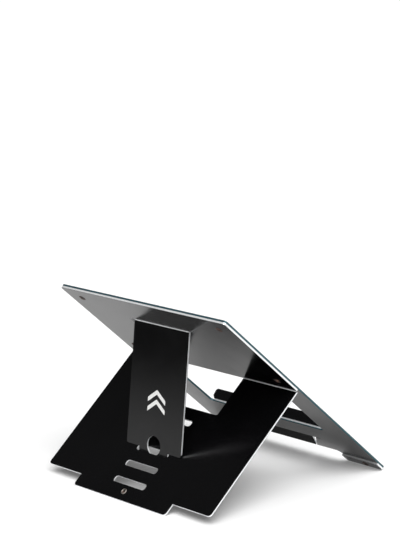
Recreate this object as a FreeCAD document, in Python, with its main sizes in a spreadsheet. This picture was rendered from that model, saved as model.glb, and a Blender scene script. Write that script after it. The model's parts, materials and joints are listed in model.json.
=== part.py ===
"""Folding laptop stand: sheet aluminium panels faced with a black film that also hinges them.

The stand is drawn set up, in millimetres: +Z up, +X to the user's right, +Y away from the user,
with the origin on the table at the centre of the footprint. Every panel is drawn flat in a frame
of its own, with Y along the slope from a fold line, and is then turned to its place.
"""
import FreeCAD, Part
import math
import os
import Sketcher

V = FreeCAD.Vector
X_AXIS = V(1, 0, 0)
ON_EDGE = 1e-4                     # how near a straight edge lies to the corner that it rounds
SEAT_ROUNDS = 20                   # far more than the strut's seat needs to settle

# ---------------------------------------------------------------- driving dimensions
SIZES = {
    "stand_width": 236.0,
    "plate_tilt": 40.3,            # slope of the support plate, degrees
    "film": 0.2,                   # facing film on both faces of every panel
    "alloy": 1.6,                  # aluminium between the films
    "fold_play": 0.1,              # leg to plate when the stand is folded flat
    "fold_gap": 0.3,               # aluminium to a fold line, bridged by the film
    # support plate, along the slope from the leg's fold line
    "rear_reach": 126.7,
    "front_reach": 166.4,
    "arm_width": 36.0,             # beside the window
    "window_lip": 6.3,             # upper sheet past the leg's fold line
    "window_corner": 3.5,
    "front_bar": 49.5,             # from the window to the notch
    "foot_width": 48.0,            # beside the notch
    "notch_depth": 17.2,
    "notch_corner": 9.0,
    "plate_corner": 3.0,
    "foot_depth": 12.4,            # length of the foot plates of the lower layer
    "film_setback": 1.0,           # film stops short of an edge that stands on the table
    # leg
    "leg_short": 0.8,              # leg's tip short of the plate's front edge, folded
    "leg_foot_gap": 1.9,
    "leg_tab_gap": 3.0,
    "leg_corner": 3.5,
    "leg_window_side_gap": 6.2,    # round the folded strut
    "leg_window_end_gap": 1.5,
    "leg_window_corner": 2.0,
    "slot_width": 45.0,
    "slot_depth": 7.0,
    "slot_corner": 2.8,
    "slot_first": 65.0,
    "slot_pitch": 20.0,
    "slot_count": 5.0,
    "slot_used": 3.0,              # the slot that the strut stands in, counted from the fold line
    # strut
    "strut_fold": 88.0,            # its fold line, from the leg's fold line
    "strut_half": 39.3,
    "strut_corner": 2.5,
    "recess_side_gap": 7.1,        # rear backing beside the folded strut
    "tongue_side_gap": 2.0,        # in a slot
    "tongue_front_gap": 0.22,
    "tongue_reach": 10.0,          # length past the leg's outer face
    "shoulder_gap": 0.3,
    "finger_hole": 19.5,
    "finger_hole_rise": 4.7,       # hole centre above the leg's outer face, along the strut
    # ledge that stops the laptop
    "ledge_side_gap": 1.0,
    "ledge_height": 12.0,
    "ledge_corner": 3.0,
    # small paper flap in the front bar
    "flap_depth": 23.1,
    "flap_inset": 23.0,            # end of its fold line from the side of the notch
    "flap_taper": 10.5,            # how much nearer the centre its free corners are
    "flap_side_gap": 1.0,          # round its free corners
    "flap_root_gap": 4.0,          # beside its fold line
    "flap_slit_reach": 10.5,       # slits that carry its fold line on past its ends
    "flap_slit_width": 1.2,
    "flap_corner": 2.0,
    # push-in rubber bumpers, each place given from the nearest edges
    "bumper_stem": 6.0,
    "bumper_head": 9.0,
    "bumper_rise": 1.6,
    "bumper_tail": 0.4,
    "bumper_dome": 0.6,
    "rear_bumper_side": 19.5,
    "rear_bumper_edge": 15.7,
    "middle_bumper_side": 15.0,
    "middle_bumper_edge": 15.5,    # from the leg's fold line
    "front_bumper_side": 20.0,
    "front_bumper_edge": 5.9,
    # eyelet and plug in the leg's tab
    "eyelet_edge": 10.1,
    "eyelet_outer": 6.5,
    "eyelet_bore": 3.4,
    "eyelet_lip": 0.4,
    "eyelet_flange": 1.2,          # how far its lip reaches past its hole
}

doc = FreeCAD.newDocument("LaptopStand")
table = doc.addObject("Spreadsheet::Sheet", "Sizes")


def store(alias, number):
    row = len(table.getNonEmptyCells()) // 2 + 1
    table.set("A%d" % row, alias)
    table.set("B%d" % row, repr(number))
    table.setAlias("B%d" % row, alias)


class Length:
    """A length with the formula on the sheet's cells that gives it."""

    def __init__(self, value, formula):
        self.value = value
        self.formula = formula

    def joined(self, sign, other, value):
        text = other.formula if isinstance(other, Length) else repr(other)
        return Length(value, "(%s %s %s)" % (self.formula, sign, text))

    def __add__(self, other):
        return self.joined("+", other, self.value + number(other))

    def __sub__(self, other):
        return self.joined("-", other, self.value - number(other))

    def __mul__(self, other):
        return self.joined("*", other, self.value * number(other))

    def __truediv__(self, other):
        return self.joined("/", other, self.value / number(other))

    def __neg__(self):
        return self * -1


def number(item):
    return item.value if isinstance(item, Length) else item


def cell(alias):
    return Length(float(table.get(alias)), "Sizes." + alias)


for name, value in SIZES.items():
    store(name, value)
doc.recompute()

# ---------------------------------------------------------------- places worked out from the sizes
ZERO = cell("film") * 0
LAYER = cell("alloy") + cell("film") * 2          # one panel with its films
LOWER = LAYER + cell("fold_play")                 # lower layer of the plate, down to the fold line
TILT = math.radians(cell("plate_tilt").value)
SLOT_USED = cell("slot_first").value + cell("slot_pitch").value * (cell("slot_used").value - 1)


def leg_tilt(fold_height, reach):
    """Slope at which the leg's lower aluminium edge reaches the table."""
    depth = (cell("alloy") + cell("film")).value
    return math.asin(fold_height / math.hypot(reach, depth)) - math.atan2(depth, reach)


def strut_seat(knee, leg_slope):
    """Where the strut's rear face meets the leg's outer face, and the strut's slope.

    The strut leans on the front edge of its slot, so the place depends on the angle between them.
    """
    slot_edge = SLOT_USED - cell("slot_depth").value / 2 + cell("tongue_front_gap").value
    bite = math.pi / 4
    for _ in range(SEAT_ROUNDS):
        along = slot_edge + LAYER.value / math.sin(bite)
        seat = (along * math.cos(leg_slope), -along * math.sin(leg_slope))
        slope = math.atan2(knee[1] - seat[1], seat[0] - knee[0])
        bite = slope - leg_slope
    return seat, slope


# The feet stand on the lower edge of their aluminium, one film above the fold line's plane.
FOLD_HEIGHT = (cell("front_reach").value * math.sin(TILT)
               - cell("film").value * math.cos(TILT))
LEG_REACH = cell("front_reach") - cell("leg_short")
LEG_TILT = leg_tilt(FOLD_HEIGHT, LEG_REACH.value)

# In the side view a point is (y, z) from the leg's fold line.
KNEE = (cell("strut_fold").value * math.cos(TILT), cell("strut_fold").value * math.sin(TILT))
SEAT, STRUT_TILT = strut_seat(KNEE, LEG_TILT)
BITE = STRUT_TILT - LEG_TILT

# The footprint runs from the plate's upper front edge to the leg's tip.
FRONT_Y = -cell("front_reach").value * math.cos(TILT) - (LOWER + LAYER).value * math.sin(TILT)
BACK_Y = LEG_REACH.value * math.cos(LEG_TILT)
FOLD = V(0, -(FRONT_Y + BACK_Y) / 2, FOLD_HEIGHT)

for name, value in {"strut_drop": math.dist(KNEE, SEAT),          # fold line to the leg's face
                    "shoulder_rise": cell("shoulder_gap").value / math.sin(BITE),
                    "bevel_run": LAYER.value / math.tan(BITE)}.items():
    store(name, round(value, 4))
doc.recompute()

# Lines across the plate, from the leg's fold line, and half widths from the centre line.
HALF = cell("stand_width") / 2
REAR = cell("rear_reach")
FRONT = -cell("front_reach")
NOTCH_LINE = FRONT + cell("notch_depth")
WINDOW_LINE = NOTCH_LINE + cell("front_bar")
FLAP_LINE = NOTCH_LINE + cell("flap_depth")
FOOT_LINE = FRONT + cell("foot_depth")
NOTCH = HALF - cell("foot_width")
WINDOW_HALF = HALF - cell("arm_width")
FLAP_HALF = NOTCH - cell("flap_inset")
FLAP_TIP_HALF = FLAP_HALF - cell("flap_taper")
TONGUE_HALF = cell("slot_width") / 2 - cell("tongue_side_gap")
STRUT_REACH = cell("strut_drop") + cell("tongue_reach")
FILM = cell("film")
ALLOY = cell("alloy")
GAP = cell("fold_gap")


def panel_place(fold_point, angle):
    """Local Y runs along the panel, at this angle above +Y, and local Z is its upper normal."""
    return FreeCAD.Placement(fold_point, FreeCAD.Rotation(X_AXIS, math.degrees(angle)))


def moved(place, y=0.0, z=0.0, turn=0.0):
    return place.multiply(FreeCAD.Placement(V(0, y, z), FreeCAD.Rotation(X_AXIS, turn)))


# In the plate's frame Z = 0 is the joint between its upper and lower layers.
PLATE = moved(panel_place(FOLD, TILT), z=LOWER.value)
LEG = panel_place(FOLD, -LEG_TILT)
STRUT = panel_place(FOLD + V(0, *KNEE), -STRUT_TILT)
LEDGE = moved(PLATE, y=WINDOW_LINE.value, z=LAYER.value, turn=90)
FLAP = moved(PLATE, y=FLAP_LINE.value, z=LAYER.value)


# ---------------------------------------------------------------- drawing helpers
parts = []


def new_body(label, place):
    body = doc.addObject("PartDesign::Body", label)
    body.Label = label
    body.Placement = place
    parts.append(body)
    return body


def new_sketch(body, height):
    """A sketch parallel to the body's XY plane, at this height."""
    plane = next(item for item in body.Origin.OriginFeatures if item.Role == "XY_Plane")
    sketch = body.newObject("Sketcher::SketchObject", body.Label + "_sketch")
    sketch.AttachmentSupport = [(plane, "")]
    sketch.MapMode = "FlatFace"
    sketch.setExpression("AttachmentOffset.Base.z", height.formula)
    return sketch


def bind(sketch, constraint, name, length):
    index = sketch.addConstraint(constraint)
    sketch.renameConstraint(index, name)
    sketch.setExpression("Constraints." + name, length.formula)


def draw_polygon(sketch, corners):
    """Close a polygon through the corners, each corner held by its X and its Y."""
    first = sketch.GeometryCount
    count = len(corners)
    points = [V(x.value, y.value, 0) for x, y in corners]
    for i in range(count):
        sketch.addGeometry(Part.LineSegment(points[i], points[(i + 1) % count]), False)
    for i in range(count):
        after = first + (i + 1) % count
        sketch.addConstraint(Sketcher.Constraint("Coincident", first + i, 2, after, 1))
    for i, (x, y) in enumerate(corners):
        line = first + i
        for axis, place in (("X", x), ("Y", y)):
            held = Sketcher.Constraint("Distance" + axis, -1, 1, line, 1, place.value)
            bind(sketch, held, "corner%d%s" % (line, axis), place)


def draw_circle(sketch, x, y, diameter):
    circle = sketch.addGeometry(
        Part.Circle(V(x.value, y.value, 0), V(0, 0, 1), diameter.value / 2), False)
    for axis, place in (("X", x), ("Y", y)):
        held = Sketcher.Constraint("Distance" + axis, -1, 1, circle, 3, place.value)
        bind(sketch, held, "circle%d%s" % (circle, axis), place)
    held = Sketcher.Constraint("Diameter", circle, diameter.value)
    bind(sketch, held, "circle%dD" % circle, diameter)


def pad(body, sketch, thickness):
    feature = body.newObject("PartDesign::Pad", body.Label + "_pad")
    feature.Profile = sketch
    feature.setExpression("Length", thickness.formula)
    doc.recompute()
    return feature


def pocket(body, sketch):
    """Cut downwards, right through the panel."""
    before = body.Shape.Volume
    feature = body.newObject("PartDesign::Pocket", body.Label + "_pocket")
    feature.Profile = sketch
    feature.Type = "ThroughAll"
    doc.recompute()
    if not body.Shape.Volume < before:
        raise RuntimeError(body.Label + ": the pocket cut nothing")
    return feature


def round_corners(body, corners, radius):
    """Round the panel's edges that stand on these corners of its outline."""
    base = body.Tip
    names = []
    for index, edge in enumerate(base.Shape.Edges, start=1):
        start, end = edge.Vertexes[0].Point, edge.Vertexes[-1].Point
        upright = math.hypot(end.x - start.x, end.y - start.y) < ON_EDGE
        if upright and any(math.hypot(start.x - x.value, start.y - y.value) < ON_EDGE
                           for x, y in corners):
            names.append("Edge%d" % index)
    if len(names) != len(corners):
        raise RuntimeError("%s: %d edges for %d corners" % (body.Label, len(names), len(corners)))
    feature = body.newObject("PartDesign::Fillet", body.Label + "_round")
    feature.Base = (base, names)
    feature.setExpression("Radius", radius.formula)
    doc.recompute()


def mirrored(half):
    """An outline given for +X, from the top of the centre line to the bottom, made whole."""
    return half + [(-x, y) for x, y in reversed(half)]


def both_sides(corners):
    return corners + [(-x, y) for x, y in corners]


def panel(label, place, bottom, thickness, outline, holes=(), circles=(), rounds=()):
    """One flat piece: its outline padded, its corners rounded."""
    body = new_body(label, place)
    sketch = new_sketch(body, bottom)
    draw_polygon(sketch, outline)
    for hole in holes:
        draw_polygon(sketch, hole)
    for x, y, diameter in circles:
        draw_circle(sketch, x, y, diameter)
    pad(body, sketch, thickness)
    for corners, radius in rounds:
        round_corners(body, corners, radius)
    return body


# ---------------------------------------------------------------- support plate
STEM = cell("bumper_stem")
BUMPERS = {
    "rear_bumpers": (HALF - cell("rear_bumper_side"), REAR - cell("rear_bumper_edge")),
    "middle_bumpers": (HALF - cell("middle_bumper_side"), cell("middle_bumper_edge")),
    "front_bumpers": (HALF - cell("front_bumper_side"), FRONT + cell("front_bumper_edge")),
}
STEM_HOLES = {name: [(x, y, STEM), (-x, y, STEM)] for name, (x, y) in BUMPERS.items()}
REAR_STEMS = STEM_HOLES["rear_bumpers"] + STEM_HOLES["middle_bumpers"]
FRONT_STEMS = STEM_HOLES["front_bumpers"]

WINDOW_CORNERS = both_sides([(WINDOW_HALF, WINDOW_LINE)])
WINDOW = mirrored([(WINDOW_HALF, -cell("window_lip")), (WINDOW_HALF, WINDOW_LINE)])


def front_half():
    """The plate's outline from its front corner to the flap's opening, which ends in slits."""
    slit_end = FLAP_HALF + cell("flap_slit_reach")
    slit_line = FLAP_LINE - cell("flap_slit_width")
    return [(HALF, FRONT), (NOTCH, FRONT), (NOTCH, NOTCH_LINE),
            (FLAP_TIP_HALF + cell("flap_side_gap"), NOTCH_LINE),
            (FLAP_HALF + cell("flap_root_gap"), slit_line), (slit_end, slit_line),
            (slit_end, FLAP_LINE)]


def make_support_plate():
    outline = mirrored([(HALF, REAR)] + front_half())
    outer = both_sides([(HALF, REAR), (HALF, FRONT), (NOTCH, FRONT)])
    rounds = ((outer, cell("plate_corner")),
              (both_sides([(NOTCH, NOTCH_LINE)]), cell("notch_corner")),
              (WINDOW_CORNERS, cell("window_corner")))
    stems = REAR_STEMS + FRONT_STEMS
    panel("support_sheet", PLATE, FILM, ALLOY, outline, [WINDOW], stems, rounds)
    panel("support_face_film", PLATE, FILM + ALLOY, FILM, outline, [WINDOW], stems, rounds)


def make_support_under_film():
    """Film on the plate's underside, as far as the foot plates."""
    half = [(HALF, REAR), (HALF, FOOT_LINE), (NOTCH, FOOT_LINE)] + front_half()[2:]
    rounds = ((both_sides([(HALF, REAR)]), cell("plate_corner")),
              (WINDOW_CORNERS, cell("window_corner")))
    panel("support_under_film", PLATE, ZERO, FILM, mirrored(half), [WINDOW], REAR_STEMS, rounds)


def make_rear_backing():
    recess = cell("strut_half") + cell("recess_side_gap")
    for label, bottom, thickness, gap in (
            ("rear_backing", FILM - LOWER, LOWER - FILM, GAP),
            ("rear_film", -LOWER, FILM, ZERO)):
        outline = mirrored([(HALF, REAR), (HALF, gap), (recess, gap),
                            (recess, cell("strut_fold") + gap)])
        panel(label, PLATE, bottom, thickness, outline, (), REAR_STEMS,
              ((both_sides([(HALF, REAR)]), cell("plate_corner")),))


def make_foot_plates():
    for side, sign, stem in (("right", 1, FRONT_STEMS[0]), ("left", -1, FRONT_STEMS[1])):
        for label, bottom, thickness, front in (
                ("_foot_plate", FILM - LOWER, LOWER - FILM, FRONT),
                ("_foot_film", -LOWER, FILM, FRONT + cell("film_setback"))):
            corners = [(HALF * sign, FOOT_LINE), (HALF * sign, front), (NOTCH * sign, front),
                       (NOTCH * sign, FOOT_LINE)]
            rounds = ((corners[1:3], cell("plate_corner")),)
            panel(side + label, PLATE, bottom, thickness, corners, (), [stem], rounds)


# ---------------------------------------------------------------- leg
EYELET_LINE = LEG_REACH - cell("eyelet_edge")


def leg_outline(root, tip):
    window = cell("strut_half") + cell("leg_window_side_gap")
    window_end = STRUT_REACH - cell("strut_fold") + cell("leg_window_end_gap")
    shoulder = cell("front_reach") - cell("foot_depth") - cell("leg_foot_gap")
    tab = NOTCH - cell("leg_tab_gap")
    return mirrored([(window, window_end), (window, root), (HALF, root), (HALF, shoulder),
                     (tab, shoulder), (tab, tip)])


def cut_slots(body, top):
    """The row of slots that the strut's tongue can stand in."""
    sketch = new_sketch(body, top)
    width = cell("slot_width") / 2
    near = cell("slot_first") - cell("slot_depth") / 2
    far = cell("slot_first") + cell("slot_depth") / 2
    corners = mirrored([(width, far), (width, near)])
    draw_polygon(sketch, corners)
    slot = pocket(body, sketch)
    round_corners(body, corners, cell("slot_corner"))
    rounding = body.Tip
    row = body.newObject("PartDesign::LinearPattern", body.Label + "_row")
    row.Originals = [slot, rounding]
    axis = next(item for item in body.Origin.OriginFeatures if item.Role == "Y_Axis")
    row.Direction = (axis, [""])
    row.setExpression("Length", ("%s * (%s - 1)" % (cell("slot_pitch").formula,
                                                    cell("slot_count").formula)))
    row.setExpression("Occurrences", cell("slot_count").formula)
    body.Tip = row
    doc.recompute()


def make_leg():
    for label, bottom, thickness, root, tip in (
            ("leg_sheet", FILM - LAYER, ALLOY, GAP, LEG_REACH),
            ("leg_outer_film", -FILM, FILM, ZERO, LEG_REACH),
            ("leg_inner_film", -LAYER, FILM, GAP, LEG_REACH - cell("film_setback"))):
        outline = leg_outline(root, tip)
        eyelet = (ZERO, EYELET_LINE, cell("eyelet_outer"))
        outer = both_sides([outline[3], outline[5]])
        rounds = ((outer, cell("leg_corner")),
                  (both_sides([outline[0]]), cell("leg_window_corner")))
        body = panel(label, LEG, bottom, thickness, outline, (), [eyelet], rounds)
        cut_slots(body, bottom + thickness)


def make_leg_eyelet():
    """A rolled metal eyelet through the tab, with a rubber plug in its bore."""
    lip = cell("eyelet_lip")
    outer = cell("eyelet_outer") / 2
    bore = cell("eyelet_bore") / 2
    flange = outer + cell("eyelet_flange")
    body = new_body("leg_eyelet", moved(LEG, y=EYELET_LINE.value))
    sketch = body.newObject("Sketcher::SketchObject", "leg_eyelet_sketch")
    plane = next(item for item in body.Origin.OriginFeatures if item.Role == "XZ_Plane")
    sketch.AttachmentSupport = [(plane, "")]
    sketch.MapMode = "FlatFace"
    draw_polygon(sketch, [(bore, -LAYER - lip), (flange, -LAYER - lip), (flange, -LAYER),
                          (outer, -LAYER), (outer, lip), (bore, lip)])
    turn = body.newObject("PartDesign::Revolution", "leg_eyelet_turn")
    turn.Profile = sketch
    turn.ReferenceAxis = (sketch, ["V_Axis"])
    turn.Angle = 360
    doc.recompute()

    plug = new_body("leg_eyelet_plug", moved(LEG, y=EYELET_LINE.value))
    sketch = new_sketch(plug, -LAYER - lip)
    draw_circle(sketch, ZERO, ZERO, cell("eyelet_bore"))
    pad(plug, sketch, LAYER + lip)


# ---------------------------------------------------------------- strut
def strut_outline(root, shoulder):
    return mirrored([(cell("strut_half"), root), (cell("strut_half"), shoulder),
                     (TONGUE_HALF, shoulder), (TONGUE_HALF, STRUT_REACH)])


def make_strut():
    """Three layers; each has shorter shoulders than the one behind it, to sit on the leg."""
    drop = cell("strut_drop")
    hole = (ZERO, drop - cell("finger_hole_rise"), cell("finger_hole"))
    for label, bottom, thickness, root in (
            ("strut_sheet", FILM - LAYER, ALLOY, GAP),
            ("strut_outer_film", -FILM, FILM, ZERO),
            ("strut_inner_film", -LAYER, FILM, GAP)):
        depth = bottom * -1
        level = cell("bevel_run") / LAYER.value
        shoulder = drop - cell("shoulder_rise") - level * depth
        outline = strut_outline(root, shoulder)
        rounds = ((both_sides([outline[1]]), cell("strut_corner")),
                  (both_sides([outline[3]]), cell("strut_corner")))
        panel(label, STRUT, bottom, thickness, outline, (), [hole], rounds)


# ---------------------------------------------------------------- ledge and paper flap
def make_ledge():
    height = cell("ledge_height")
    side = WINDOW_HALF - cell("ledge_side_gap")
    for label, bottom, thickness, root in (
            ("ledge_sheet", FILM - LAYER, ALLOY, GAP),
            ("ledge_front_film", -FILM, FILM, ZERO),
            ("ledge_stop_film", -LAYER, FILM, GAP)):
        # Its foot is cut back as far as the rounding of the window's corners that it folds into.
        foot = side - cell("window_corner")
        outline = mirrored([(side, height), (side, root + cell("window_corner")), (foot, root)])
        rounds = ((both_sides([outline[0]]), cell("ledge_corner")),)
        panel(label, LEDGE, bottom, thickness, outline, (), (), rounds)


def make_paper_flap():
    for label, bottom, thickness, root in (
            ("flap_sheet", FILM - LAYER, ALLOY, GAP),
            ("flap_top_film", -FILM, FILM, ZERO),
            ("flap_under_film", -LAYER, FILM, GAP)):
        outline = mirrored([(FLAP_HALF, -root), (FLAP_TIP_HALF, -cell("flap_depth"))])
        rounds = ((both_sides([outline[1]]), cell("flap_corner")),)
        panel(label, FLAP, bottom, thickness, outline, (), (), rounds)


# ---------------------------------------------------------------- rubber bumpers
def make_bumpers(label, x, y):
    """Two rubber bumpers pushed through the plate, their heads under the laptop."""
    tail = LOWER + cell("bumper_tail")
    solids = []
    for side in (1, -1):
        where = "_right" if side > 0 else "_left"
        stem = doc.addObject("Part::Cylinder", label + "_stem" + where)
        stem.setExpression("Radius", (STEM / 2).formula)
        stem.setExpression("Height", (tail + LAYER).formula)
        head = doc.addObject("Part::Cylinder", label + "_head" + where)
        head.setExpression("Radius", (cell("bumper_head") / 2).formula)
        head.setExpression("Height", cell("bumper_rise").formula)
        for solid, z in ((stem, -tail), (head, LAYER)):
            solid.setExpression("Placement.Base.x", (x * side).formula)
            solid.setExpression("Placement.Base.y", y.formula)
            solid.setExpression("Placement.Base.z", z.formula)
        joined = doc.addObject("Part::Fuse", label + where)
        joined.Base, joined.Tool = stem, head
        doc.recompute()
        rim = [index for index, edge in enumerate(joined.Shape.Edges, start=1)
               if edge.BoundBox.ZMin > (LAYER + cell("bumper_rise")).value - ON_EDGE]
        dome = doc.addObject("Part::Fillet", label + "_dome" + where)
        dome.Base = joined
        dome.Edges = [(index, cell("bumper_dome").value, cell("bumper_dome").value)
                      for index in rim]
        solids.append(dome)
    group = doc.addObject("Part::Compound", label)
    group.Links = solids
    group.Label = label
    group.Placement = PLATE
    parts.append(group)
    doc.recompute()


make_support_plate()
make_support_under_film()
make_rear_backing()
make_foot_plates()
make_leg()
make_leg_eyelet()
make_strut()
make_ledge()
make_paper_flap()
for bumpers, (bumper_x, bumper_y) in BUMPERS.items():
    make_bumpers(bumpers, bumper_x, bumper_y)
doc.recompute()

# ---------------------------------------------------------------- checks, then one file per piece
for item in doc.Objects:
    if "Invalid" in item.State or "Error" in item.State:
        raise RuntimeError("%s is %s" % (item.Label, item.State))
for part in parts:
    if part.Shape.isNull() or not part.Shape.isValid():
        raise RuntimeError(part.Label + " has no valid shape")

os.makedirs("parts", exist_ok=True)
for part in parts:
    part.Shape.exportStep("parts/%s.step" % part.Label)

leg_fold = 180 - math.degrees(TILT) - math.degrees(LEG_TILT)
strut_fold = 180 - math.degrees(TILT) - math.degrees(STRUT_TILT)
print("fold line %.6f %.6f" % (FOLD.y, FOLD.z),
      "strut fold line %.6f %.6f" % (STRUT.Base.y, STRUT.Base.z))
print("ledge fold line %.6f %.6f" % (LEDGE.Base.y, LEDGE.Base.z),
      "flap fold line %.6f %.6f" % (FLAP.Base.y, FLAP.Base.z))
print("leg folds %.3f, strut folds %.3f degrees" % (leg_fold, strut_fold))
print("pieces", len(parts))
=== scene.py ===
"""Looks of the folding laptop stand: film-faced aluminium panels, rubber bumpers, eyelet and ink mark."""

import json
import math

import bmesh
import bpy
from mathutils import Matrix, Vector


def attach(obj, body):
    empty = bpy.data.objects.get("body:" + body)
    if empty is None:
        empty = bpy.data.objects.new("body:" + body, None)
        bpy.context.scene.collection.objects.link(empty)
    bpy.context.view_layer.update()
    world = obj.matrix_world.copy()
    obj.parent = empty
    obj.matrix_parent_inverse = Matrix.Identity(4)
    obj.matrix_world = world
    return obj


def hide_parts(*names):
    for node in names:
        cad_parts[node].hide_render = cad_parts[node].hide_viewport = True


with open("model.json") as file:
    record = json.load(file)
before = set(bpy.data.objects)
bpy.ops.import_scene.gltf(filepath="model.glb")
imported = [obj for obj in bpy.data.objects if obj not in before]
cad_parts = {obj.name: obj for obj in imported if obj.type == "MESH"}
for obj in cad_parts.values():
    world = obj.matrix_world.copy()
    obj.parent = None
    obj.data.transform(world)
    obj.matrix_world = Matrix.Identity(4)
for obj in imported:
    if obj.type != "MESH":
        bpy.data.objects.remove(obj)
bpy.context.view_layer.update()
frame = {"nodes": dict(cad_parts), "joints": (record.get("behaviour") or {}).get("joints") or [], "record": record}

MM = 0.001
X_AXIS = Vector((1, 0, 0))
JOINT_AT = {joint["name"]: Vector(joint["pos_m"]) for joint in frame["joints"]}


# ---------------------------------------------------------------- node helper and colours
def linear(hex_colour):
    """An sRGB hex colour as the linear RGBA that shaders take."""
    channels = [int(hex_colour[i:i + 2], 16) / 255 for i in (1, 3, 5)]
    flat = [c / 12.92 if c <= 0.04045 else ((c + 0.055) / 1.055) ** 2.4 for c in channels]
    return (*flat, 1.0)


def add(tree, kind, links=None, **settings):
    """Add a node; settings are its properties or unlinked inputs, links feed its inputs.

    A link comes from a socket, or from a node, which stands for its first live output.
    """
    node = tree.nodes.new("ShaderNode" + kind)
    for name, value in settings.items():
        label = name.replace("_", " ")
        if hasattr(node, name):
            setattr(node, name, value)
        elif isinstance(value, str):
            node.inputs[label].default_value = linear(value)
        else:
            node.inputs[label].default_value = value
    for name, source in (links or {}).items():
        if isinstance(source, bpy.types.Node):
            source = next(socket for socket in source.outputs if socket.enabled)
        tree.links.new(source, node.inputs[name])
    return node


def new_material(name):
    """An empty material, its node tree and the Object coordinates that place its patterns."""
    material = bpy.data.materials.new(name)
    material.use_nodes = True
    material.node_tree.nodes.clear()
    tree = material.node_tree
    return material, tree, add(tree, "TexCoord").outputs["Object"]


def per_metre(size_mm):
    """Texture scale whose features are this many millimetres across."""
    return 1 / (size_mm * MM)


# ---------------------------------------------------------------- materials
# Noise is grey between about 0.3 and 0.7, so that span is what the roughness ranges map.
DULLER = {"From_Min": 0.3, "From_Max": 0.7}


def laminated_film(name, dark, light, roughness):
    """Fluoropolymer film hot-pressed on the sheet: satin black with a fine orange-peel grain.

    The eye sees deep black face on, a soft mirror of the table at a low angle, dull clouds where
    hands have rubbed it and a few hair-thin scuffs. Its low IOR keeps the black deep.
    """
    material, tree, place = new_material(name)
    grain = add(tree, "TexNoise", {"Vector": place}, Scale=per_metre(0.5), Detail=3.0)
    hands = add(tree, "TexNoise", {"Vector": place}, Scale=per_metre(55), Detail=4.0,
                Roughness=0.6)
    drawn = add(tree, "Mapping", {"Vector": place}, Rotation=(0.3, 0.5, 0.6), Scale=(1, 14, 1))
    hairs = add(tree, "TexNoise", {"Vector": drawn}, Scale=per_metre(24), Detail=6.0,
                Roughness=0.7)
    scuffs = add(tree, "MapRange", {"Value": hairs}, From_Min=0.66, From_Max=0.72,
                 To_Min=0.0, To_Max=0.12)
    clouds = add(tree, "MapRange", {"Value": hands}, From_Min=0.35, From_Max=0.7,
                 To_Min=roughness - 0.04, To_Max=roughness + 0.05)
    dull = add(tree, "Math", {0: clouds, 1: scuffs}, operation="ADD")
    tone = add(tree, "Mix", {"Factor": hands}, data_type="RGBA", A=dark, B=light)
    relief = add(tree, "Bump", {"Height": grain}, Strength=0.10, Distance=0.05 * MM)
    shader = add(tree, "BsdfPrincipled",
                 {"Base Color": tone, "Roughness": dull, "Normal": relief}, IOR=1.37)
    add(tree, "OutputMaterial", {"Surface": shader})
    return material


def flocked_film():
    """Film flocked with short nylon fibres, so that paper grips: velvet black, no gloss at all.

    Real fibres are about 0.02 mm across. They are drawn as 0.35 mm tufts, or they would not show.
    """
    material, tree, place = new_material("black flocked film")
    pile = add(tree, "TexNoise", {"Vector": place}, Scale=per_metre(0.35), Detail=4.0)
    brushed = add(tree, "TexNoise", {"Vector": place}, Scale=per_metre(18), Detail=2.0)
    mixed = add(tree, "Math", {0: pile, 1: brushed}, operation="MULTIPLY")
    tone = add(tree, "Mix", {"Factor": mixed}, data_type="RGBA", A="#0b0b0b", B="#1a1a1a")
    relief = add(tree, "Bump", {"Height": pile}, Strength=0.6, Distance=0.1 * MM)
    shader = add(tree, "BsdfPrincipled", {"Base Color": tone, "Normal": relief},
                 Roughness=0.9, Specular_IOR_Level=0.05, Sheen_Weight=0.05, Sheen_Roughness=0.4)
    add(tree, "OutputMaterial", {"Surface": shader})
    return material


def milled_aluminium(name, dark, light):
    """Sheet whose edges were cut by a router: fine cutter marks under a matt oxide skin.

    The eye sees edges that stay pale from every side, as the oxide scatters part of the light.
    Cutter marks are about 0.1 mm apart and are drawn 0.5 mm apart, so that they show.
    """
    material, tree, place = new_material(name)
    marks = add(tree, "TexNoise", {"Vector": place}, Scale=per_metre(0.5), Detail=4.0)
    stains = add(tree, "TexNoise", {"Vector": place}, Scale=per_metre(14), Detail=3.0)
    tone = add(tree, "Mix", {"Factor": stains}, data_type="RGBA", A=dark, B=light)
    dull = add(tree, "MapRange", {"Value": marks}, To_Min=0.38, To_Max=0.6, **DULLER)
    relief = add(tree, "Bump", {"Height": marks}, Strength=0.3, Distance=0.04 * MM)
    shader = add(tree, "BsdfPrincipled",
                 {"Base Color": tone, "Roughness": dull, "Normal": relief}, Metallic=0.6)
    add(tree, "OutputMaterial", {"Surface": shader})
    return material


def moulded_rubber():
    """Nitrile rubber, moulded: its own colour is near-black brown; the lighter brown blotches are a painted glint.
    """
    material, tree, place = new_material("moulded nitrile rubber")
    blotch_noise = add(tree, "TexNoise", {"Vector": place}, Scale=per_metre(2.4), Detail=5.0)
    painted_glint_patches = add(tree, "MapRange", {"Value": blotch_noise}, From_Min=0.42, From_Max=0.68,
                  To_Min=0, To_Max=1)
    # Painted glint: lighter brown blotches mixed into the near-black base colour.
    tone = add(tree, "Mix", {"Factor": painted_glint_patches}, data_type="RGBA", A="#171311", B="#7d5f52")
    dull = add(tree, "MapRange", {"Value": blotch_noise}, To_Min=0.5, To_Max=0.8, **DULLER)
    relief = add(tree, "Bump", {"Height": blotch_noise}, Strength=0.4, Distance=0.05 * MM)
    shader = add(tree, "BsdfPrincipled",
                 {"Base Color": tone, "Roughness": dull, "Normal": relief}, IOR=1.52)
    add(tree, "OutputMaterial", {"Surface": shader})
    return material


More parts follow.
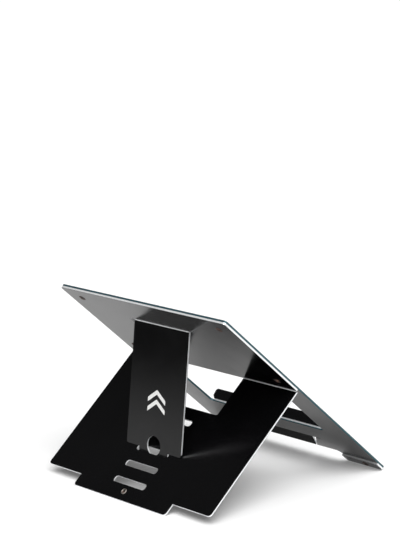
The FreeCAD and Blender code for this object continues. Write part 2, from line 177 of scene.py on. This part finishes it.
def plated_brass():
    """Nickel-plated brass, rolled over: a warm grey metal with faint tarnish."""
    material, tree, place = new_material("nickel-plated brass")
    tarnish = add(tree, "TexNoise", {"Vector": place}, Scale=per_metre(1.2), Detail=4.0)
    tone = add(tree, "Mix", {"Factor": tarnish}, data_type="RGBA", A="#a79d94", B="#d6cfc8")
    dull = add(tree, "MapRange", {"Value": tarnish}, To_Min=0.22, To_Max=0.42, **DULLER)
    shader = add(tree, "BsdfPrincipled", {"Base Color": tone, "Roughness": dull}, Metallic=1.0)
    add(tree, "OutputMaterial", {"Surface": shader})
    return material


def printing_ink():
    """Screen-printed white ink: matt, slightly thin where the mesh held it back.

    The mesh of a screen is about 0.1 mm. Its trace is drawn 0.7 mm wide, so that it shows.
    """
    material, tree, place = new_material("white screen-printing ink")
    cover = add(tree, "TexNoise", {"Vector": place}, Scale=per_metre(0.7), Detail=3.0)
    tone = add(tree, "Mix", {"Factor": cover}, data_type="RGBA", A="#dcdcda", B="#f6f6f4")
    dull = add(tree, "MapRange", {"Value": cover}, To_Min=0.5, To_Max=0.65, **DULLER)
    shader = add(tree, "BsdfPrincipled", {"Base Color": tone, "Roughness": dull}, IOR=1.5)
    add(tree, "OutputMaterial", {"Surface": shader})
    return material


FILM = laminated_film("satin black laminate", "#050506", "#080809", 0.18)
INNER_FILM = laminated_film("satin black laminate, inner face", "#070708", "#0a0a0b", 0.24)
FLOCK = flocked_film()
ALLOY = milled_aluminium("milled aluminium edge", "#eceef0", "#fafbfc")
# Painted shade: dark teal on the upper sheet's edges stands in for the shadow of the laptop and its narrow gap.
SHADE_PAINTED_ALLOY = milled_aluminium("aluminium edge, dark teal painted shade", "#2c4a52", "#41666f")
RUBBER = moulded_rubber()
EYELET = plated_brass()
INK = printing_ink()
SLOT_MATERIALS = {"film": FILM, "inner_film": INNER_FILM, "flap_film": FLOCK, "alloy": ALLOY,
                  "rubber": RUBBER, "eyelet": EYELET, "ink": INK}


def dress_cad_nodes():
    """Give every CAD node the finish of its slot; the plate's upper sheet gets dark teal edges, painted shade that
    copies the laptop's shadow on them.
    """
    for part in frame["record"]["subparts"]:
        node = frame["nodes"][part["node"]]
        for slot in node.material_slots:
            slot.material = SLOT_MATERIALS[part["material_slot"]]
    # painted shade: the upper sheet's edges are coloured dark teal
    for slot in frame["nodes"]["support_sheet"].material_slots:
        slot.material = SHADE_PAINTED_ALLOY


# ---------------------------------------------------------------- places and shapes
def panel_frame(node, origin):
    """Frame of a panel: X across it, Y along it and Z out of its upper or outer face."""
    mesh = frame["nodes"][node].data
    normal = max(mesh.polygons, key=lambda polygon: polygon.area).normal.copy()
    if normal.z < 0:
        normal.negate()
    along = normal.cross(X_AXIS)
    turn = Matrix((X_AXIS, along, normal)).transposed().to_4x4()
    return Matrix.Translation(origin) @ turn


def extent(node, panel, side=0):
    """Lowest and highest corner of a node in a panel's frame, of one side of it if asked."""
    inverse = panel.inverted()
    points = [inverse @ vertex.co for vertex in frame["nodes"][node].data.vertices
              if vertex.co.x * side >= 0]
    low = Vector(min(point[i] for point in points) for i in range(3))
    high = Vector(max(point[i] for point in points) for i in range(3))
    return low, high


MERGE_DISTANCE = 1e-7
SHARP_ANGLE = math.radians(35)


def finish_piece(name, shape, panel, material, body, replaced=()):
    """Make a bmesh drawn in a panel's frame into a smooth-shaded piece that rides on a body."""
    bmesh.ops.remove_doubles(shape, verts=shape.verts, dist=MERGE_DISTANCE)
    bmesh.ops.transform(shape, matrix=panel, verts=shape.verts)
    bmesh.ops.recalc_face_normals(shape, faces=shape.faces)
    mesh = bpy.data.meshes.new(name)
    shape.to_mesh(mesh)
    shape.free()
    for polygon in mesh.polygons:
        polygon.use_smooth = True
    mesh.set_sharp_from_angle(angle=SHARP_ANGLE)
    mesh.materials.append(material)
    piece = bpy.data.objects.new(name, mesh)
    bpy.context.scene.collection.objects.link(piece)
    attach(piece, body)
    if replaced:
        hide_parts(*replaced)


LATHE_STEPS = 48


def lathe(shape, x, y, profile, closed=False):
    """Spin a profile of (radius, height) points about an upright through (x, y)."""
    verts = [shape.verts.new((x + radius, y, height)) for radius, height in profile]
    pairs = list(zip(verts, verts[1:]))
    if closed:
        pairs.append((verts[-1], verts[0]))
    edges = [shape.edges.new(pair) for pair in pairs]
    bmesh.ops.spin(shape, geom=verts + edges, cent=(x, y, 0), axis=(0, 0, 1), dvec=(0, 0, 0),
                   angle=math.tau, steps=LATHE_STEPS, use_merge=True)


PLATE = panel_frame("support_sheet", JOINT_AT["leg_fold"])
LEG = panel_frame("leg_sheet", JOINT_AT["leg_fold"])
STRUT = panel_frame("strut_sheet", JOINT_AT["strut_fold"])
LEDGE = panel_frame("support_sheet", JOINT_AT["ledge_fold"])     # the plate's frame at its fold


# ---------------------------------------------------------------- bumpers
BUMPER_RISE = 1.6 * MM          # head above the plate's face
BUMPER_TAIL = 0.4 * MM          # tail below its underside
STEM_RADIUS = 2.98 * MM
LIP_RADIUS = 3.7 * MM


def bumper_profile(bottom, top, head):
    """Push-in bumper: hollow tail with a retaining lip, stem, and a head with a dished top."""
    under = bottom + BUMPER_TAIL
    face = top - BUMPER_RISE
    return [(0, bottom + 1.6 * MM), (1.3 * MM, bottom + 1.6 * MM), (1.55 * MM, bottom + 0.3 * MM),
            (1.75 * MM, bottom + 0.05 * MM), (2.05 * MM, bottom), (2.7 * MM, bottom),
            (3.25 * MM, bottom + 0.06 * MM), (LIP_RADIUS - 0.1 * MM, bottom + 0.18 * MM),
            (LIP_RADIUS, under - 0.08 * MM), (LIP_RADIUS - 0.1 * MM, under),
            (STEM_RADIUS, under), (STEM_RADIUS, face), (head - 0.12 * MM, face),
            (head, face + 0.12 * MM), (head, top - 0.75 * MM), (head - 0.12 * MM, top - 0.4 * MM),
            (head - 0.4 * MM, top - 0.14 * MM), (head - 0.85 * MM, top),
            (head - 1.5 * MM, top), (head - 1.9 * MM, top - 0.12 * MM),
            (head - 2.1 * MM, top - 0.3 * MM), (0.9 * MM, top - 0.3 * MM),
            (0.6 * MM, top - 0.22 * MM), (0, top - 0.2 * MM)]


def make_bumpers():
    """The six bumpers the laptop lies on, a pair to a piece."""
    for node in ("rear_bumpers", "middle_bumpers", "front_bumpers"):
        shape = bmesh.new()
        for side in (1, -1):
            low, high = extent(node, PLATE, side)
            middle = (low + high) / 2
            lathe(shape, middle.x, middle.y, bumper_profile(low.z, high.z, middle.x - low.x))
        finish_piece(node + "_moulded", shape, PLATE, RUBBER, "plate", [node])


# ---------------------------------------------------------------- eyelet
BORE_RADIUS = 1.7 * MM
ROLL_RADIUS = 3.25 * MM
PLUG_PLAY = 0.01 * MM           # between the plug and the bore


def make_eyelet():
    """A rolled eyelet through the leg's tab, and the rubber plug in its bore."""
    low, high = extent("leg_eyelet", LEG)
    middle = (low + high) / 2
    flange = middle.x - low.x
    top, bottom = high.z, low.z
    roll = [(BORE_RADIUS, bottom + 0.3 * MM), (BORE_RADIUS, top - 0.45 * MM),
            (BORE_RADIUS + 0.1 * MM, top - 0.2 * MM), (BORE_RADIUS + 0.35 * MM, top - 0.05 * MM),
            (BORE_RADIUS + 0.7 * MM, top), (ROLL_RADIUS - 0.4 * MM, top - 0.05 * MM),
            (ROLL_RADIUS - 0.1 * MM, top - 0.2 * MM), (ROLL_RADIUS, top - 0.39 * MM),
            (ROLL_RADIUS - 0.02 * MM, top - 0.4 * MM), (ROLL_RADIUS - 0.02 * MM, bottom + 0.4 * MM),
            (flange - 0.05 * MM, bottom + 0.4 * MM), (flange, bottom + 0.3 * MM),
            (flange - 0.15 * MM, bottom + 0.1 * MM), (flange - 0.5 * MM, bottom),
            (BORE_RADIUS + 0.3 * MM, bottom), (BORE_RADIUS + 0.08 * MM, bottom + 0.1 * MM)]
    shape = bmesh.new()
    lathe(shape, middle.x, middle.y, roll, closed=True)
    finish_piece("rolled_eyelet", shape, LEG, EYELET, "leg", ["leg_eyelet"])

    low, high = extent("leg_eyelet_plug", LEG)
    edge = (high.x - low.x) / 2 - PLUG_PLAY
    plug = [(0, low.z + 0.1 * MM), (edge - 0.3 * MM, low.z + 0.1 * MM), (edge, low.z + 0.4 * MM),
            (edge, high.z - 0.3 * MM), (edge - 0.2 * MM, high.z - 0.08 * MM),
            (edge - 0.6 * MM, high.z), (0, high.z)]
    shape = bmesh.new()
    lathe(shape, middle.x, middle.y, plug)
    finish_piece("eyelet_plug", shape, LEG, RUBBER, "leg", ["leg_eyelet_plug"])


# ---------------------------------------------------------------- bare edges in the folds
BEAD_RADIUS = 0.75 * MM
BEAD_SIDES = 16
BEAD_END = 0.2 * MM             # rounding of its ends
BEAD_INSET = 0.5 * MM           # short of the panels' side edges
LEG_WINDOW_GAP = 6.2 * MM       # from the folded strut to the side of the leg's window
LEDGE_FOOT = 4.0 * MM           # short of the ledge's chamfered ends


def bead(shape, start, end):
    """A round strip along the fold line, from start to end along X, with rounded ends."""
    ring = bmesh.ops.create_circle(shape, cap_ends=True, segments=BEAD_SIDES, radius=BEAD_RADIUS)
    upright = Matrix.Rotation(math.pi / 2, 4, "Y")
    bmesh.ops.transform(shape, matrix=Matrix.Translation((start, 0, 0)) @ upright,
                        verts=ring["verts"])
    disc = ring["verts"][0].link_faces[:]
    grown = bmesh.ops.extrude_face_region(shape, geom=disc)
    moved = [item for item in grown["geom"] if isinstance(item, bmesh.types.BMVert)]
    bmesh.ops.translate(shape, vec=(end - start, 0, 0), verts=moved)
    rims = [edge for vert in ring["verts"] + moved for edge in vert.link_edges
            if abs(edge.verts[0].co.x - edge.verts[1].co.x) < MERGE_DISTANCE]
    bmesh.ops.bevel(shape, geom=list(set(rims)), offset=BEAD_END, offset_type="OFFSET",
                    segments=3, profile=0.5, affect="EDGES", material=-1)


def make_fold_edges():
    """The sheets' rounded, bare edges, which show in the bend of each fold."""
    leg_half = extent("leg_outer_film", LEG)[1].x - BEAD_INSET
    strut_half = extent("strut_outer_film", STRUT)[1].x
    ledge_half = extent("ledge_front_film", LEDGE)[1].x - LEDGE_FOOT
    window_half = strut_half + LEG_WINDOW_GAP
    strut_end = strut_half - BEAD_INSET
    runs = {"leg": (LEG, [(window_half, leg_half), (-leg_half, -window_half)]),
            "strut": (STRUT, [(-strut_end, strut_end)]),
            "ledge": (LEDGE, [(-ledge_half, ledge_half)])}
    for fold, (panel, ends) in runs.items():
        shape = bmesh.new()
        for start, end in ends:
            bead(shape, start, end)
        finish_piece(fold + "_fold_edge", shape, panel, ALLOY, "plate")


# ---------------------------------------------------------------- printed mark
MARK_TOP = 64 * MM              # from the strut's fold line
MARK_HALF = 12.5 * MM
MARK_STROKE = 4.6 * MM
MARK_PITCH = 9.5 * MM
MARK_DROP = 9 * MM              # from a chevron's point down to its ends
MARK_CORNER = 0.8 * MM
INK_THICKNESS = 0.04 * MM


def make_mark():
    """Two plain chevrons that point up the strut, printed on its outer face."""
    face = extent("strut_outer_film", STRUT)[1].z
    shape = bmesh.new()
    for row in range(2):
        top = MARK_TOP + row * MARK_PITCH
        tip = top + MARK_DROP
        outline = [(0, top), (MARK_HALF, tip), (MARK_HALF, tip + MARK_STROKE),
                   (0, top + MARK_STROKE), (-MARK_HALF, tip + MARK_STROKE), (-MARK_HALF, tip)]
        flat = shape.faces.new([shape.verts.new((x, y, face)) for x, y in outline])
        bmesh.ops.bevel(shape, geom=flat.verts[:], offset=MARK_CORNER, offset_type="OFFSET",
                        segments=4, profile=0.5, affect="VERTICES", material=-1)
    grown = bmesh.ops.extrude_face_region(shape, geom=shape.faces[:])
    raised = [item for item in grown["geom"] if isinstance(item, bmesh.types.BMVert)]
    bmesh.ops.translate(shape, vec=(0, 0, INK_THICKNESS), verts=raised)
    bmesh.ops.triangulate(shape, faces=[item for item in shape.faces if len(item.verts) > 4])
    finish_piece("printed_mark", shape, STRUT, INK, "strut")


dress_cad_nodes()
make_bumpers()
make_eyelet()
make_fold_edges()
make_mark()


# ---------------------------------------------------------------- camera, floor and light
VIEW_AZIMUTH = math.radians(226.62)     # from behind, over the stand's -X rear corner
VIEW_ELEVATION = math.radians(11.73)
VIEW_ROLL = math.radians(-0.49)
VIEW_DISTANCE = 1.881
AIM_RIGHT = -0.0118                     # what the lens points at, from the leg's fold line
AIM_UP = 0.0935
LENS_MM = 122.08
SENSOR_MM = 36.0


def make_camera():
    """A long lens that looks down a little on the stand's back."""
    back = Vector((math.sin(VIEW_AZIMUTH) * math.cos(VIEW_ELEVATION),
                   -math.cos(VIEW_AZIMUTH) * math.cos(VIEW_ELEVATION),
                   math.sin(VIEW_ELEVATION)))
    level = Vector((math.cos(VIEW_AZIMUTH), math.sin(VIEW_AZIMUTH), 0))
    upright = back.cross(level)
    right = level * math.cos(VIEW_ROLL) + upright * math.sin(VIEW_ROLL)
    up = upright * math.cos(VIEW_ROLL) - level * math.sin(VIEW_ROLL)
    aim = JOINT_AT["leg_fold"] + right * AIM_RIGHT + up * AIM_UP
    lens = bpy.data.cameras.new("camera")
    lens.lens = LENS_MM
    lens.sensor_width = SENSOR_MM
    camera = bpy.data.objects.new("camera", lens)
    turn = Matrix((right, up, back)).transposed().to_4x4()
    camera.matrix_world = Matrix.Translation(aim + back * VIEW_DISTANCE) @ turn
    bpy.context.scene.collection.objects.link(camera)
    bpy.context.scene.camera = camera


FLOOR_GLOW = 0.13                       # painted light: the paper glows a little, which lifts its shadows
FLOOR_HALF = 20                         # metres
SHADE_TURN = -math.pi / 4               # turns +X +Y, where the painted shade darkens the sweep, into X
SHADE_AWAY = (0.45, 1.2)                # metres out, where the painted shade starts and where it is full
SHADE_BESIDE = (-1.2, -0.3)             # metres across, where the painted shade is still nil and where it is full


def make_floor():
    """White paper sweep with painted shade: its colour and glow darken on one side, in place of light falling off
    into the unlit end of the studio.
    """
    material, tree, place = new_material("white paper sweep")
    turned = add(tree, "Mapping", {"Vector": place}, Rotation=(0, 0, SHADE_TURN))
    axes = add(tree, "SeparateXYZ", {"Vector": turned})
    away = add(tree, "MapRange", {"Value": axes.outputs["X"]}, From_Min=SHADE_AWAY[0],
               From_Max=SHADE_AWAY[1])
    beside = add(tree, "MapRange", {"Value": axes.outputs["Y"]}, From_Min=SHADE_BESIDE[0],
                 From_Max=SHADE_BESIDE[1])
    dim = add(tree, "Math", {0: away, 1: beside}, operation="MULTIPLY")
    # Painted shade and painted light: colour and glow fall from white to dark grey under the mask.
    tone = add(tree, "Mix", {"Factor": dim}, data_type="RGBA", A="#f4f4f4", B="#2c2c2c")
    shader = add(tree, "BsdfPrincipled", {"Base Color": tone, "Emission Color": tone},
                 Roughness=0.6, Emission_Strength=FLOOR_GLOW)
    add(tree, "OutputMaterial", {"Surface": shader})
    shape = bmesh.new()
    bmesh.ops.create_grid(shape, x_segments=1, y_segments=1, size=FLOOR_HALF)
    mesh = bpy.data.meshes.new("floor")
    shape.to_mesh(mesh)
    shape.free()
    mesh.materials.append(material)
    floor = bpy.data.objects.new("floor", mesh)
    bpy.context.scene.collection.objects.link(floor)


def make_softbox(name, towards, strength, spread):
    """A far soft light: towards is where it stands, spread its width in degrees."""
    light = bpy.data.lights.new(name, "SUN")
    light.energy = strength
    light.angle = math.radians(spread)
    sun = bpy.data.objects.new(name, light)
    sun.rotation_mode = "QUATERNION"
    sun.rotation_quaternion = Vector(towards).to_track_quat("Z", "Y")
    bpy.context.scene.collection.objects.link(sun)


ROOM_LIGHT = 0.09                       # the unlit studio above the sweep


def make_light():
    """A dim room, a key light behind the stand on its -X side, and a broad one overhead."""
    world = bpy.data.worlds.new("studio")
    world.use_nodes = True
    backdrop = world.node_tree.nodes["Background"]
    backdrop.inputs["Color"].default_value = linear("#ffffff")
    backdrop.inputs["Strength"].default_value = ROOM_LIGHT
    bpy.context.scene.world = world
    make_softbox("key softbox", (-0.6, 0.45, 0.8), 2.6, 50)
    make_softbox("top softbox", (-0.3, 0.2, 1.0), 1.6, 75)


make_camera()
make_floor()
make_light()
bpy.context.scene.view_settings.view_transform = "Standard"
